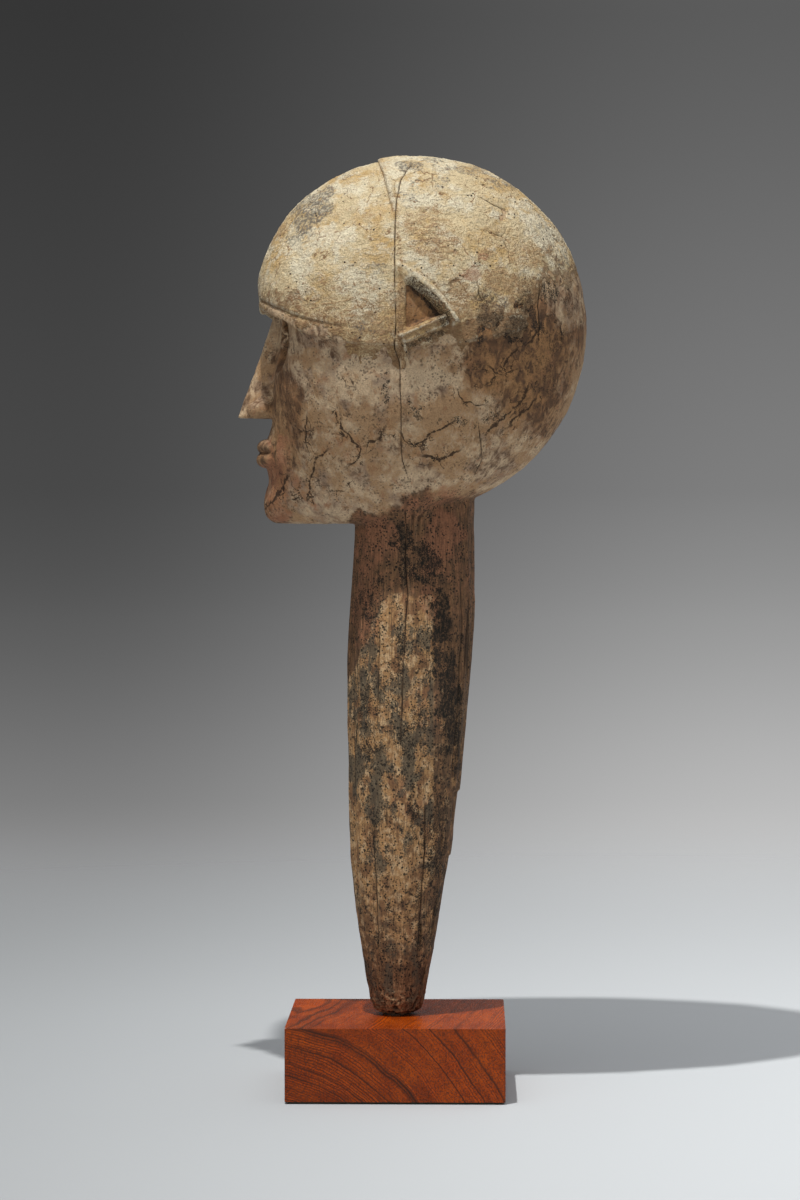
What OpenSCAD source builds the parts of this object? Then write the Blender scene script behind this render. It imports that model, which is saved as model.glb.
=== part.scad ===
// Carved wooden ancestor head on a long tapering post, shown on a hardwood plinth.
// Millimetres. +Z is up, the figure faces -Y, its left side is +X, and the origin is the
// middle of the plinth's felt underside, on the axis of the mount rod.

/* [Plinth] */
// Side of the square plinth block
plinth_w = 150; // [135:1:180]
// Height of the plinth block
plinth_h = 50; // [40:1:60]
// Chamfer on the plinth's edges
plinth_chamfer = 0.8; // [0.4:0.1:2]
// Thickness of the felt sheet under the plinth
felt_t = 1.5; // [1:0.1:3]

/* [Mount rod] */
// Radius of the steel mount rod
rod_r = 5; // [4:0.5:6]
// Length of rod that stands up inside the post
rod_engagement = 75; // [60:1:90]
// Wall of the brass sleeve that lines the post's bore
sleeve_wall = 1; // [1:0.1:1.5]
// Running clearance between the rod and what turns on it
running_gap = 0.05; // [0.03:0.01:0.1]
// Side of the square steel plate under the plinth
plate_w = 60; // [50:1:80]
// Thickness of the steel plate
plate_t = 4; // [3:0.5:6]
// Thickness of the leather washer under the post's foot
washer_t = 1; // [0.5:0.1:2]

/* [Figure] */
// Height of the carving from its foot to its crown
figure_h = 597; // [590:1:605]
// Height of the head from chin to crown
head_h = 255; // [250:1:260]
// Width of the head across its sides
head_w = 172; // [168:1:176]
// Thickness of the earthen coat on the crown
coat_t = 1.2; // [0.8:0.1:2]

/* [Hidden] */
$fn = 64;
head_sides = 48;
soft_fn = 24;
overlap = 1;
skin_gap = 0.05;

plinth_top = felt_t + plinth_h;
foot_z = plinth_top + washer_t;
crown_z = foot_z + figure_h;
chin_z = crown_z - head_h;

// The head's height is three and a half face thirds: half a third of hair above the
// forehead, then forehead, nose and mouth with chin.
face_third = head_h / 3.5;
brow_z = chin_z + 2 * face_third;
nose_z = chin_z + face_third;
mouth_z = nose_z - face_third / 3;
eye_z = chin_z + head_h / 2;
// The head is five eyes wide.
eye_w = head_w / 5;

// The cranium swells from this height, on an axis a little behind the post's.
swell_z = crown_z - 119.5;
head_axis_y = 12;
skull_side = head_w / 2;
skull_back = 119.5;
skull_up = crown_z - swell_z;
skull_down = 125;
// Below the swell the sides draw in more slowly than the back, to leave room for the jaw.
jaw_draw = 152;
forehead_reach = 110;
forehead_swell_z = swell_z + 23;
eye_reach = 95;
chin_reach = 103;
chin_round = 10;
// The hair cap stands this much proud of the face.
hair_step = 2.5;
// The coat breaks off at this height beside the ears, and higher towards the back.
coat_edge_z = 572;
coat_slant = 8;
nape_reach = 20;
face_plane_y = head_axis_y - eye_reach;

// The post's adzed sections: height, reach to the front, reach to the back, half width.
post_stations = [
    [foot_z, 11, 11, 11], [foot_z + 5, 17.5, 17.5, 17.5], [86, 23, 23, 23],
    [110, 27, 27.5, 27], [135, 29.5, 31, 30], [163, 32, 36, 34], [208, 34, 42, 38],
    [255, 34.5, 48, 41], [300, 34, 52, 42], [340, 32.5, 54, 42], [395, 29, 53, 41],
    [440, 29, 53, 41]
];
post_sides = 14;

sleeve_r = rod_r + running_gap + sleeve_wall;
sleeve_l = rod_engagement + 4;
rod_top = foot_z + rod_engagement;
rod_chamfer = 1;
plate_recess_gap = 0.3;
plate_top = felt_t + plate_t;
screw_pitch = plate_w - 16;
screw_r = 2;
screw_head_r = 4;
screw_l = 22;
felt_inset = 2;

// Half of an ellipse: its reach at height z, where it is widest at height middle.
function swelling(z, middle, reach, height) = reach * sqrt(max(0, 1 - pow((z - middle) / height, 2)));

function reach_side(z) = swelling(z, swell_z, skull_side, z > swell_z ? skull_up : jaw_draw);

// The back of the head runs into the nape no closer than this to the head's axis.
function reach_back(z) =
    z > swell_z ? swelling(z, swell_z, skull_back, skull_up)
                : max(nape_reach, swelling(z, swell_z, skull_back, skull_down));

// Straight down the face from under the brow to the chin, which is rounded under.
function reach_face(z) =
    let (down = (brow_z - z) / (brow_z - chin_z), under = max(0, chin_z + chin_round - z))
    eye_reach + (chin_reach - eye_reach) * down
        - (chin_round - sqrt(chin_round * chin_round - under * under));

function reach_front(z) =
    z > brow_z ? swelling(z, forehead_swell_z, forehead_reach, crown_z - forehead_swell_z)
               : reach_face(z);

// The front is squarer at the eyes than at the chin and the crown.
function squareness(z) = 2 + 1.1 * exp(-pow((z - eye_z) / 60, 2));

// Heights of the head's rings, from the chin's underside to just under the crown.
head_heights = concat(
    [for (h = [0, 1.5, 4, 7.5, 12, 20, 30, 42, 54, 68, 84, 100, 116, 130]) chin_z + h],
    [brow_z - 2, brow_z + 1],
    [for (a = [15 : 7.5 : 82.5]) swell_z + skull_up * sin(a)],
    [crown_z - 0.2]);

// The head without its features: an oval ring at each height, joined from ring to ring.
module head_form(grow = 0) {
    n = head_sides;
    points = [
        for (z = head_heights, j = [0 : n - 1])
            let (turn = 360 * j / n, c = cos(turn), s = sin(turn),
                 power = s < 0 ? 2 / squareness(z) : 1,
                 reach = grow + (s < 0 ? reach_front(z) : reach_back(z)),
                 out = (z - swell_z) / skull_up)
            [sign(c) * pow(abs(c), power) * max(1, grow + reach_side(z)),
             head_axis_y + sign(s) * pow(abs(s), power) * max(1, reach),
             z + grow * max(0, out)]
    ];
    loft(points, n);
}

// Joins rings of n points, listed from the lowest to the highest, into one closed solid.
module loft(points, n) {
    top = len(points) / n - 1;
    polyhedron(
        points = points,
        faces = concat(
            [[for (j = [0 : n - 1]) j]],
            [[for (j = [n - 1 : -1 : 0]) top * n + j]],
            [for (i = [0 : top - 1], j = [0 : n - 1])
                [i * n + j, (i + 1) * n + j, (i + 1) * n + (j + 1) % n]],
            [for (i = [0 : top - 1], j = [0 : n - 1])
                [i * n + j, (i + 1) * n + (j + 1) % n, i * n + (j + 1) % n]]));
}

// A slab in front of the line where the hair cap begins, leaning with that line.
module before_hairline(grow) {
    translate([-head_w, -14 - grow, crown_z + 10]) rotate([3, 0, 0])
        translate([0, -2 * head_w, -2 * head_h]) cube([2 * head_w, 2 * head_w, 2 * head_h + 20]);
}

// The head, with the face and forehead a step lower than the hair cap.
module head_with_cap(grow = 0) {
    union() {
        head_form(grow - hair_step);
        difference() {
            head_form(grow);
            before_hairline(grow);
        }
    }
}

// The post: one adzed flat between each pair of edges, from station to station.
module post() {
    turns = [for (j = [0 : post_sides - 1]) 360 * (j + 0.5) / post_sides];
    loft([for (s = post_stations, turn = turns)
            [s[3] * cos(turn), (sin(turn) < 0 ? s[1] : s[2]) * sin(turn), s[0]]],
         post_sides);
}

// The wedge of the nose, from the bridge between the brows to its flat base.
module nose() {
    bridge_z = brow_z + 4;
    base_half = eye_w / 2;
    tip_y = face_plane_y - 30;
    polyhedron(
        points = [
            [-7, face_plane_y + 4, bridge_z], [7, face_plane_y + 4, bridge_z],
            [0, face_plane_y - 12, bridge_z],
            [-base_half, face_plane_y + 4, nose_z], [base_half, face_plane_y + 4, nose_z],
            [0, tip_y, nose_z]
        ],
        faces = [[0, 1, 2], [3, 5, 4], [0, 2, 5], [0, 5, 3], [2, 1, 4], [2, 4, 5], [0, 3, 4], [0, 4, 1]]);
}

// The hollow under one brow, cut straight back behind the face plane.
module socket(side) {
    translate([side * (eye_w + 2), face_plane_y + 7, eye_z - 1]) rotate([90, 0, 0])
        cylinder(r = 21, h = 40);
}

// One almond-shaped eye with a level slit between its lids.
module eye(side) {
    arc_r = 26;
    lid_h = 6.5;
    depth = 10;
    slit = 1.5;
    translate([side * eye_w, face_plane_y + 8, eye_z]) rotate([90, 0, 0]) difference() {
        linear_extrude(depth) intersection() {
            translate([0, lid_h - arc_r]) circle(r = arc_r);
            translate([0, arc_r - lid_h]) circle(r = arc_r);
        }
        translate([-arc_r, -slit / 2, depth - 2]) cube([2 * arc_r, slit, 3]);
    }
}

// One closed lip: an arc of round bar that follows the front of the jaw.
module lip(height, thickness) {
    arc_r = 36;
    spread = 84;
    translate([0, -55, height]) rotate([0, 0, -90 - spread / 2])
        rotate_extrude(angle = spread) translate([arc_r, 0]) circle(thickness, $fn = soft_fn);
}

// The raised chevron of one ear, its point to the back.
module ear(side) {
    ridge = 7;
    tip = [40, 534];
    top = [5, 568];
    low = [4, 512];
    translate([side * (skull_side - 4), 0, 0]) rotate([90, 0, 90])
        linear_extrude(16, center = true)
            polygon([top, top + [0, -ridge - 3], tip + [-ridge - 3, 0], low + [0, ridge + 2],
                     low, tip + [0, -ridge], tip + [2, 0], tip + [0, ridge - 2]]);
}

module carved_figure() {
    color("tan") difference() {
        union() {
            difference() {
                head_with_cap();
                for (side = [-1, 1]) socket(side);
            }
            post();
            nose();
            lip(mouth_z + 4.5, 6);
            lip(mouth_z - 5, 5.5);
            for (side = [-1, 1]) {
                eye(side);
                ear(side);
            }
        }
        translate([0, 0, foot_z - overlap]) cylinder(r = sleeve_r, h = sleeve_l + 2 + overlap);
    }
}

// The earthen coat that covers the crown, thicker than a wash and broken off in a slant.
module kaolin_coat() {
    color("wheat") intersection() {
        difference() {
            head_with_cap(coat_t);
            head_with_cap(skin_gap);
        }
        translate([0, 0, coat_edge_z]) rotate([coat_slant, 0, 0])
            translate([-head_w, -head_w, 0]) cube([2 * head_w, 2 * head_w, head_h]);
    }
}

module rod_sleeve() {
    color("goldenrod") translate([0, 0, foot_z]) difference() {
        cylinder(r = sleeve_r, h = sleeve_l);
        translate([0, 0, -overlap]) cylinder(r = rod_r + running_gap, h = sleeve_l + 2 * overlap);
    }
}

module foot_washer() {
    color("saddlebrown") translate([0, 0, plinth_top]) difference() {
        cylinder(r = 10, h = washer_t);
        translate([0, 0, -overlap]) cylinder(r = rod_r + running_gap, h = washer_t + 2 * overlap);
    }
}

// A square block with chamfered edges, standing on z = 0.
module chamfered_block(side, height, chamfer) {
    c = chamfer;
    intersection() {
        translate([0, 0, height / 2]) cube([side, side, height], center = true);
        translate([0, 0, height / 2]) rotate([0, 0, 45])
            cube([side * sqrt(2) - c * sqrt(2), side * sqrt(2) - c * sqrt(2), height + 2], center = true);
        for (turn = [0, 90]) rotate([0, 0, turn])
            rotate([90, 0, 0]) linear_extrude(side + 2, center = true)
                polygon([[-side / 2, c], [-side / 2 + c, 0], [side / 2 - c, 0], [side / 2, c],
                         [side / 2, height - c], [side / 2 - c, height],
                         [-side / 2 + c, height], [-side / 2, height - c]]);
    }
}

module plinth_block() {
    recess_w = plate_w + 2 * plate_recess_gap;
    color("sienna") difference() {
        translate([0, 0, felt_t]) chamfered_block(plinth_w, plinth_h, plinth_chamfer);
        translate([0, 0, felt_t]) cube([recess_w, recess_w, 2 * plate_t], center = true);
        translate([0, 0, felt_t]) cylinder(r = rod_r + running_gap, h = plinth_h + overlap);
        for (x = [-1, 1], y = [-1, 1])
            translate([x * screw_pitch / 2, y * screw_pitch / 2, felt_t])
                cylinder(r = screw_r, h = screw_l);
    }
}

module mount_rod() {
    color("dimgray") rotate_extrude()
        polygon([[0, plate_top], [rod_r, plate_top], [rod_r, rod_top - rod_chamfer],
                 [rod_r - rod_chamfer, rod_top], [0, rod_top]]);
}

module mount_plate() {
    color("gray") difference() {
        translate([0, 0, felt_t + plate_t / 2]) cube([plate_w, plate_w, plate_t], center = true);
        for (x = [-1, 1], y = [-1, 1])
            translate([x * screw_pitch / 2, y * screw_pitch / 2, felt_t]) plate_screw(0.1);
    }
}

// A countersunk screw, head down at z = 0; ease widens it into its clearance hole.
module plate_screw(ease = 0) {
    head_h = screw_head_r - screw_r;
    rotate_extrude()
        polygon([[0, -ease], [screw_head_r + ease, -ease], [screw_head_r + ease, 0],
                 [screw_r + ease, head_h], [screw_r + ease, screw_l - screw_r], [0, screw_l + ease]]);
}

module plate_screws() {
    color("silver") for (x = [-1, 1], y = [-1, 1])
        translate([x * screw_pitch / 2, y * screw_pitch / 2, felt_t]) plate_screw();
}

module base_felt() {
    side = plinth_w - 2 * felt_inset;
    color("darkgreen") translate([0, 0, felt_t / 2]) cube([side, side, felt_t], center = true);
}

carved_figure();
kaolin_coat();
rod_sleeve();
foot_washer();
plinth_block();
mount_rod();
mount_plate();
plate_screws();
base_felt();
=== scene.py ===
"""Looks for the carved ancestor figure: a weathered wooden head on a long adzed post, crusted with
pale earth, standing on a hardwood plinth.

Shapes are worked out in millimetres, in the row frame: +Z up, the face looks along -Y, and the
figure's left side is +X. Meshes are made in metres."""
import math

import bpy
import numpy as np
import openvdb
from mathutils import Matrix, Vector


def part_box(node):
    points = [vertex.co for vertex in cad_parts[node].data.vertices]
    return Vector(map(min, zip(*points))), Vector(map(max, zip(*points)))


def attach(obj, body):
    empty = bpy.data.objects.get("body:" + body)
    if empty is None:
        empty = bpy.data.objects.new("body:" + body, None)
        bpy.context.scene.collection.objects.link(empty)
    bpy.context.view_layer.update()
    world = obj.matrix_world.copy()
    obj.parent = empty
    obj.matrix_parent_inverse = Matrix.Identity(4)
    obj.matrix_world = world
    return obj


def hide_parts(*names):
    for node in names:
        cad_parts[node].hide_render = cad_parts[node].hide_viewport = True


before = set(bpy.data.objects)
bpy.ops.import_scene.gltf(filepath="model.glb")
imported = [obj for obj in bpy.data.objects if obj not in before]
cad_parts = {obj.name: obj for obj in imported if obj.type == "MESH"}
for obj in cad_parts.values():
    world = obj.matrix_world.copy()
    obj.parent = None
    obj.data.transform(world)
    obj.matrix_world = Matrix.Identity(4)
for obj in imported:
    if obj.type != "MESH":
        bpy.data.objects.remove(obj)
bpy.context.view_layer.update()
MM = 0.001

# --- sizes, as part.scad has them
FIGURE_LOW, FIGURE_HIGH = (np.array(corner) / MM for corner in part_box("carved_figure"))
SLEEVE_HIGH = np.array(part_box("rod_sleeve")[1]) / MM
PLINTH_HIGH = np.array(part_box("plinth_block")[1]) / MM
FOOT_Z, CROWN_Z = FIGURE_LOW[2], FIGURE_HIGH[2]
HEAD_H = 255
HEAD_W = 172
CHIN_Z = CROWN_Z - HEAD_H
FACE_THIRD = HEAD_H / 3.5
BROW_Z = CHIN_Z + 2 * FACE_THIRD
NOSE_Z = CHIN_Z + FACE_THIRD
MOUTH_Z = NOSE_Z - FACE_THIRD / 3
EYE_Z = CHIN_Z + HEAD_H / 2
EYE_W = HEAD_W / 5

AXIS_Y = 12
SKULL_SIDE, SKULL_BACK = HEAD_W / 2, 119.5
SKULL_UP, SKULL_DOWN, JAW_DRAW = 119.5, 125, 152
SWELL_Z = CROWN_Z - SKULL_UP
FOREHEAD_REACH, FOREHEAD_DOWN, FOREHEAD_Z = 110, 130, SWELL_Z + 23
EYE_REACH, CHIN_REACH = 95, 103
FACE_Y = AXIS_Y - EYE_REACH
HAIR_STEP, HAIR_BEND_Z = 2.5, 550
POST_TOP = 440

# The post's sections: height, reach to the front, reach to the back, half width.
POST_STATIONS = np.array([
    (FOOT_Z, 12, 12, 12), (FOOT_Z + 3, 16.5, 16.5, 16.5), (FOOT_Z + 9, 19, 18.5, 19), (86, 23, 23, 23),
    (110, 27, 27.5, 27), (135, 29.5, 31, 30), (163, 32, 36, 34), (208, 34, 42, 38),
    (255, 34.5, 48, 41), (300, 34, 52, 42), (340, 32.5, 54, 42), (395, 29, 53, 41), (POST_TOP, 29, 53, 41),
])
# Directions that the post's adzed flats face, in degrees: 0 is +X, 90 is +Y.
POST_FLATS = (-90, -64, -36, -6, 26, 52, 74, 92, 112, 140, 168, 196, 222, 248)
BORE_R = SLEEVE_HIGH[0] + 0.05
BORE_TOP = SLEEVE_HIGH[2] + 2

VOXEL = 0.8


# --- noise
RANDOM = np.random.RandomState(11).uniform(-1, 1, (32, 32, 32)).astype(np.float32)


def noise(points, size, seed=0, octaves=1, stretch=(1, 1, 1)):
    """Smooth noise, mostly within -1 and 1, with lumps about size across, stretched along the axes."""
    total = np.zeros(len(points), np.float32)
    for octave in range(octaves):
        cells, parts = [], []
        for axis in range(3):
            place = points[:, axis] * (2**octave / (size * stretch[axis])) + 7.31 * (seed + 3 * octave)
            cell = np.floor(place)
            part = (place - cell).astype(np.float32)
            cells.append(cell.astype(np.int64))
            parts.append(part * part * (3 - 2 * part))
        value = np.zeros(len(points), np.float32)
        for corner in np.ndindex(2, 2, 2):
            weight = np.ones(len(points), np.float32)
            for part, high in zip(parts, corner):
                weight *= part if high else 1 - part
            i, j, k = ((cell + high) & 31 for cell, high in zip(cells, corner))
            value += weight * RANDOM[i, j, k]
        total += value * (1.4 / 2**octave)
    return total


def ramp(value, low, high):
    """0 below low and 1 above high, smooth between them. It falls instead where high is the lower."""
    t = np.clip((value - low) / (high - low), 0, 1)
    return t * t * (3 - 2 * t)


def bell(value, width):
    """1 where the value is 0, falling smoothly to 0 on both sides over about twice the width."""
    return np.exp(-((value / width) ** 2))


# --- distance fields
def blend(a, b, radius):
    """Union of two distance fields with a fillet."""
    near = np.maximum(radius - np.abs(a - b), 0)
    return np.minimum(a, b) - near * near / (4 * radius)


def carve(a, b, radius):
    """Field a with b cut out of it, with a rounded edge."""
    return -blend(-a, b, radius)


def overlap(a, b, radius):
    """What both fields share, with a rounded edge."""
    return -blend(-a, -b, radius)


def ellipsoid(x, y, z, centre, radii):
    """Distance to an ellipsoid, true enough near its surface."""
    px, py, pz = ((p - c) for p, c in zip((x, y, z), centre))
    k0 = np.sqrt((px / radii[0]) ** 2 + (py / radii[1]) ** 2 + (pz / radii[2]) ** 2)
    k1 = np.sqrt((px / radii[0] ** 2) ** 2 + (py / radii[1] ** 2) ** 2 + (pz / radii[2] ** 2) ** 2)
    return k0 * (k0 - 1) / np.maximum(k1, 1e-6)


def as_distance(shape, x, y, z):
    """A shape's value over its slope, which is its distance near the surface."""
    step, least_slope = 0.4, 0.004
    here = shape(x, y, z)
    slopes = [shape(x + step, y, z) - here, shape(x, y + step, z) - here, shape(x, y, z + step) - here]
    steepness = np.sqrt(sum(s * s for s in slopes)) / step
    return here / np.maximum(steepness, least_slope)


def swelling(z, middle, reach, up, down):
    """Half of an ellipse: its reach at height z, where it is widest at height middle."""
    t = (z - middle) / np.where(z > middle, up, down)
    return reach * np.sqrt(np.maximum(1 - t * t, 1e-4))


def forehead_reach(z):
    return swelling(z, FOREHEAD_Z, FOREHEAD_REACH, CROWN_Z - FOREHEAD_Z, FOREHEAD_DOWN)


def face_reach(z):
    down = (BROW_Z - z) / (BROW_Z - CHIN_Z)
    straight = EYE_REACH + (CHIN_REACH - EYE_REACH) * down
    return np.where(z > BROW_Z, np.minimum(straight, forehead_reach(z)), straight)


def head_oval(front_reach):
    """The head's section as a function of place: below 0 inside, squarer at the eyes than elsewhere."""
    def shape(x, y, z):
        side = swelling(z, SWELL_Z, SKULL_SIDE, SKULL_UP, JAW_DRAW)
        back = swelling(z, SWELL_Z, SKULL_BACK, SKULL_UP, SKULL_DOWN)
        back = np.maximum(back, np.where(z < SWELL_Z, 20, 1))
        ahead = y < AXIS_Y
        reach = np.where(ahead, front_reach(z), back)
        power = np.where(ahead, 2 + 1.1 * bell(z - EYE_Z, 60), 2)
        ring = (np.abs(x) / side) ** power + (np.abs(y - AXIS_Y) / np.maximum(reach, 1)) ** power
        height_left = (side / SKULL_SIDE) ** 2
        return (ring ** (2 / power) - 1) * height_left
    return shape


def brow_line(x):
    """Height of the brow's lower edge, arched over both eyes and drooping to the temples."""
    across = np.abs(x)
    return BROW_Z + 1.5 - 11 * (across / 62) ** 2.4 - 3 * bell(across, 9)


def hairline(z):
    """How far forward the hair cap's edge lies at height z."""
    return 3.5 - 17.5 * np.maximum(0, (z - HAIR_BEND_Z) / (CROWN_Z - HAIR_BEND_Z)) ** 2.2


def eye_marks(x, z):
    """How far the lids and their slit stand out of one eyeball, x being across from its middle."""
    across = np.clip(np.abs(x) / (EYE_W / 2), 0, 1)
    lid = 6.8 * (1 - across**2)
    rim = np.abs(np.abs(z) - lid) / np.sqrt(1 + (13.6 * across / (EYE_W / 2)) ** 2)
    slit = bell(z + 1.2 - 1.8 * across**2, 0.8) * ramp(across, 1, 0.75)
    return 1.7 * bell(rim, 1.5) - 2.6 * slit


def eyes(x, y, z):
    across = np.abs(x) - EYE_W
    ball = ellipsoid(across, y, z, (0, FACE_Y + 14, EYE_Z), (17, 10, 11))
    return ball - eye_marks(across, z - EYE_Z)


def nose(x, y, z):
    """A wedge with a rounded ridge, winged at its flat base."""
    bridge = BROW_Z + 3
    down = np.clip((bridge - z) / (bridge - NOSE_Z), 0, 1)
    ridge_y = FACE_Y - 5 - 24 * down**1.1
    half_width = 5.5 + (EYE_W / 2 - 6) * down**1.3
    into = np.clip((y - ridge_y) / (FACE_Y + 5 - ridge_y), 0, 1.6)
    wall = (np.abs(x) - 2 - (half_width - 2) * into**0.7) * 0.85
    wedge = overlap(wall, ridge_y - y, 3)
    wedge = overlap(wedge, z - bridge, 4)
    wedge = np.maximum(wedge, y - FACE_Y - 12)
    wing = ellipsoid(np.abs(x), y, z, (EYE_W / 2 - 6.5, FACE_Y - 11, NOSE_Z + 6), (6.5, 11, 7))
    wedge = blend(wedge, wing, 4)
    wedge = overlap(wedge, NOSE_Z - z, 1.5)
    nostril = ellipsoid(np.abs(x), y, z, (6.3, FACE_Y - 15, NOSE_Z - 0.5), (3, 5.5, 4))
    return carve(wedge, nostril, 1.5)


def lip(x, y, z, height, thickness, bow):
    """One closed lip on an arc round the jaw, thinning to its corners."""
    arc_y, arc_r, spread = FACE_Y + 28, 36, math.radians(41)
    turn = np.arctan2(np.abs(x), arc_y - y) / spread
    radius = np.hypot(x, y - arc_y)
    fullness = np.sqrt(np.maximum(1 - np.minimum(turn, 1) ** 2, 0.02))
    middle = height - bow * turn**2 - 0.8 * np.sign(bow) * bell(turn, 0.13)
    return np.hypot((radius - arc_r) * 0.8, z - middle) - thickness * fullness


def head(x, y, z):
    """The carved head with its face, ears and hair cap."""
    step = HAIR_STEP * ramp(z, 430, 575)
    cranium = np.maximum(as_distance(head_oval(forehead_reach), x, y, z), z - CROWN_Z)
    face = np.maximum(as_distance(head_oval(face_reach), x, y, z), z - CROWN_Z)
    above_brow = z - brow_line(x)
    crease = 1.6 * bell(above_brow - 8.5, 1.2) * ramp(y, -20, -45) * ramp(np.abs(x), 4, 9)
    ledge = overlap(cranium + crease, -above_brow, 2)
    socket = ellipsoid(np.abs(x), y, z, (EYE_W + 1, FACE_Y - 1, EYE_Z - 2), (23, 12, 20))
    front = carve(face, socket, 5)
    front = blend(front, ellipsoid(x, y, z, (0, FACE_Y + 15, MOUTH_Z), (31, 23, 22)), 9)
    front = blend(front, ellipsoid(x, y, z, (0, FACE_Y + 4, CHIN_Z + 14), (19, 13.5, 13)), 8)
    front = blend(front, ledge, 1.5 + 14 * ramp(np.abs(x), 56, 74))
    front = blend(front, nose(x, y, z), 2.5)
    lips = np.minimum(lip(x, y, z, MOUTH_Z + 4.6, 5.4, 1.6), lip(x, y, z, MOUTH_Z - 4.6, 5.8, -1.6))
    front = blend(front, lips, 1)
    front = np.minimum(front, np.where(y < -40, eyes(x, y, z) - step, 1e3))
    behind = y - hairline(z)
    ridge = 1.3 * bell(behind - 1.7, 1.5) * ramp(z, 540, 590) * ramp(z, 646, 622)
    groove = 0.6 * bell(behind - 6, 0.9) * ramp(z, 528, 545) * ramp(z, 612, 592)
    cap = overlap(cranium - ridge + groove, -behind, 0.8)
    whole = np.minimum(front + step, cap)
    whole = overlap(whole, CHIN_Z - z, 9)
    return whole - ears(x, y, z)


# The ear's two arms and the tail under them: the crest of each, from front to back, in Y and Z, and
# how far it bows up between its ends.
EAR_RIM = ((3, 569), (43, 531), 3.8)
EAR_FOLD = ((4, 521), (34, 534), 0)
EAR_TAIL = ((8, 499), (5, 522), 0)


def beside(y, z, crest):
    """How far each place is along an ear's arm, from 0 to 1, and how far it is under the crest."""
    (y0, z0), (y1, z1), bow = crest
    length = math.hypot(y1 - y0, z1 - z0)
    along_y, along_z = (y1 - y0) / length, (z1 - z0) / length
    along = ((y - y0) * along_y + (z - z0) * along_z) / length
    under = (y - y0) * along_z - (z - z0) * along_y
    return along, under + 4 * bow * along * (1 - along)


def arm(y, z, crest, heights, flat, fall):
    """Height of an ear's arm: a welt along its crest, a flat below that, then a fall."""
    along, under = beside(y, z, crest)
    height = heights[0] + (heights[1] - heights[0]) * np.clip(along, 0, 1)
    across = ramp(under, -1.4, 0.8) * (1 - 0.22 * ramp(under, 1.4, 2.6)) * ramp(under, flat + fall, flat)
    return height * across * ramp(along, -0.07, 0.02) * ramp(along, 1.05, 0.98)


def ears(x, y, z):
    """How far the chevron of an ear stands out of the side of the head, and its hollow sinks in."""
    raised = arm(y, z, EAR_RIM, (2.6, 6.5), 3, 6.5)
    raised = np.maximum(raised, arm(y, z, EAR_FOLD, (3.8, 6), 6, 2))
    raised = np.maximum(raised, arm(y, z, EAR_TAIL, (1.2, 3.2), 1.5, 1.5))
    inside = np.minimum(beside(y, z, EAR_RIM)[1] - 7, -0.4 - beside(y, z, EAR_FOLD)[1])
    hollow = 4.5 * ramp(inside, 0, 4) * ramp(y, 4, 15)
    return (raised - hollow * ramp(raised, 3, 0.6)) * ramp(np.abs(x), 55, 65)


def ear_soot_and_shade(x, y, z):
    """The inner wall under the ear's rim, which faces down: partly sooted, partly painted shade."""
    along, under = beside(y, z, EAR_RIM)
    wall = ramp(under, 1.6, 3.2) * ramp(under, 11 + 3 * along, 8 + 3 * along)
    return wall * ramp(along, 0.16, 0.3) * ramp(along, 0.98, 0.9) * ramp(np.abs(x), 55, 65)


def post(x, y, z):
    """The long post: flats between adzed edges, each flat wandering a little along its length."""
    heights = POST_STATIONS[:, 0]
    front, back, side = (np.interp(z, heights, POST_STATIONS[:, i]) for i in (1, 2, 3))
    # Two slivers stand proud of the back, each from a sharp step at its foot up to nothing.
    sliver = 1.3 * ramp(z, 207.6, 208.6) * ramp(z, 262, 210)
    sliver += 1.2 * ramp(z, 162.6, 163.6) * ramp(z, 200, 165)
    distance = np.full(x.shape, -1e3)
    for number, degrees in enumerate(POST_FLATS):
        turn = math.radians(degrees)
        c, s = math.cos(turn), math.sin(turn)
        reach = np.hypot(side * c, np.where(s < 0, front, back) * s)
        wander = 0.55 * np.sin(z / (21 + number % 4 * 6) + number * 2.3) * ramp(z, 60, 110)
        if 45 < degrees < 115:
            wander = wander * 0.4 + sliver
        distance = np.maximum(distance, c * x + s * y - reach - wander)
    return np.maximum(distance, np.maximum(FOOT_Z - z, z - POST_TOP))


def figure(x, y, z):
    """The whole carving with its bore."""
    whole = blend(head(x, y, z), post(x, y, z), 2.5)
    bore = np.maximum(np.hypot(x, y) - BORE_R, z - BORE_TOP)
    return np.maximum(whole, -bore)


def surface_of(distance, low, high, voxel):
    """Points and quads of the surface where distance is 0, worked out only in blocks near it."""
    side = 4
    block = side * voxel
    counts = np.ceil((high - low) / block).astype(int)
    centres = low + (np.stack(np.meshgrid(*map(np.arange, counts), indexing="ij"), -1) + 0.5) * block
    rough = in_parts(distance, centres.reshape(-1, 3)).reshape(counts)
    band = 3 * voxel
    field = np.empty((counts[0], side, counts[1], side, counts[2], side), np.float32)
    field[:] = np.where(rough < 0, -band, band)[:, None, :, None, :, None]
    i, j, k = np.nonzero(np.abs(rough) < block * 1.5)
    inside = (np.stack(np.meshgrid(*[np.arange(side)] * 3, indexing="ij"), -1) + 0.5 - side / 2) * voxel
    places = centres[i, j, k][:, None, None, None, :] + inside
    values = in_parts(distance, places.reshape(-1, 3)).reshape(-1, side, side, side)
    field[i, :, j, :, k, :] = np.clip(values, -band, band)
    grid = openvdb.FloatGrid(band)
    grid.copyFromArray(field.reshape(counts * side))
    points, quads = grid.convertToQuads()
    return low + (points + 0.5) * voxel, quads


def in_parts(distance, points, size=200_000):
    """The distance at each point, a part at a time to save memory."""
    parts = [points[i:i + size].astype(np.float32) for i in range(0, len(points), size)]
    return np.concatenate([distance(p[:, 0], p[:, 1], p[:, 2]) for p in parts])


def summed(values, quads, count):
    """Each face's value added up at its corners, which are among count points."""
    return np.stack([
        sum(np.bincount(quads[:, i], values[:, axis], count) for i in range(4)) for axis in range(3)
    ], -1)


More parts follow.
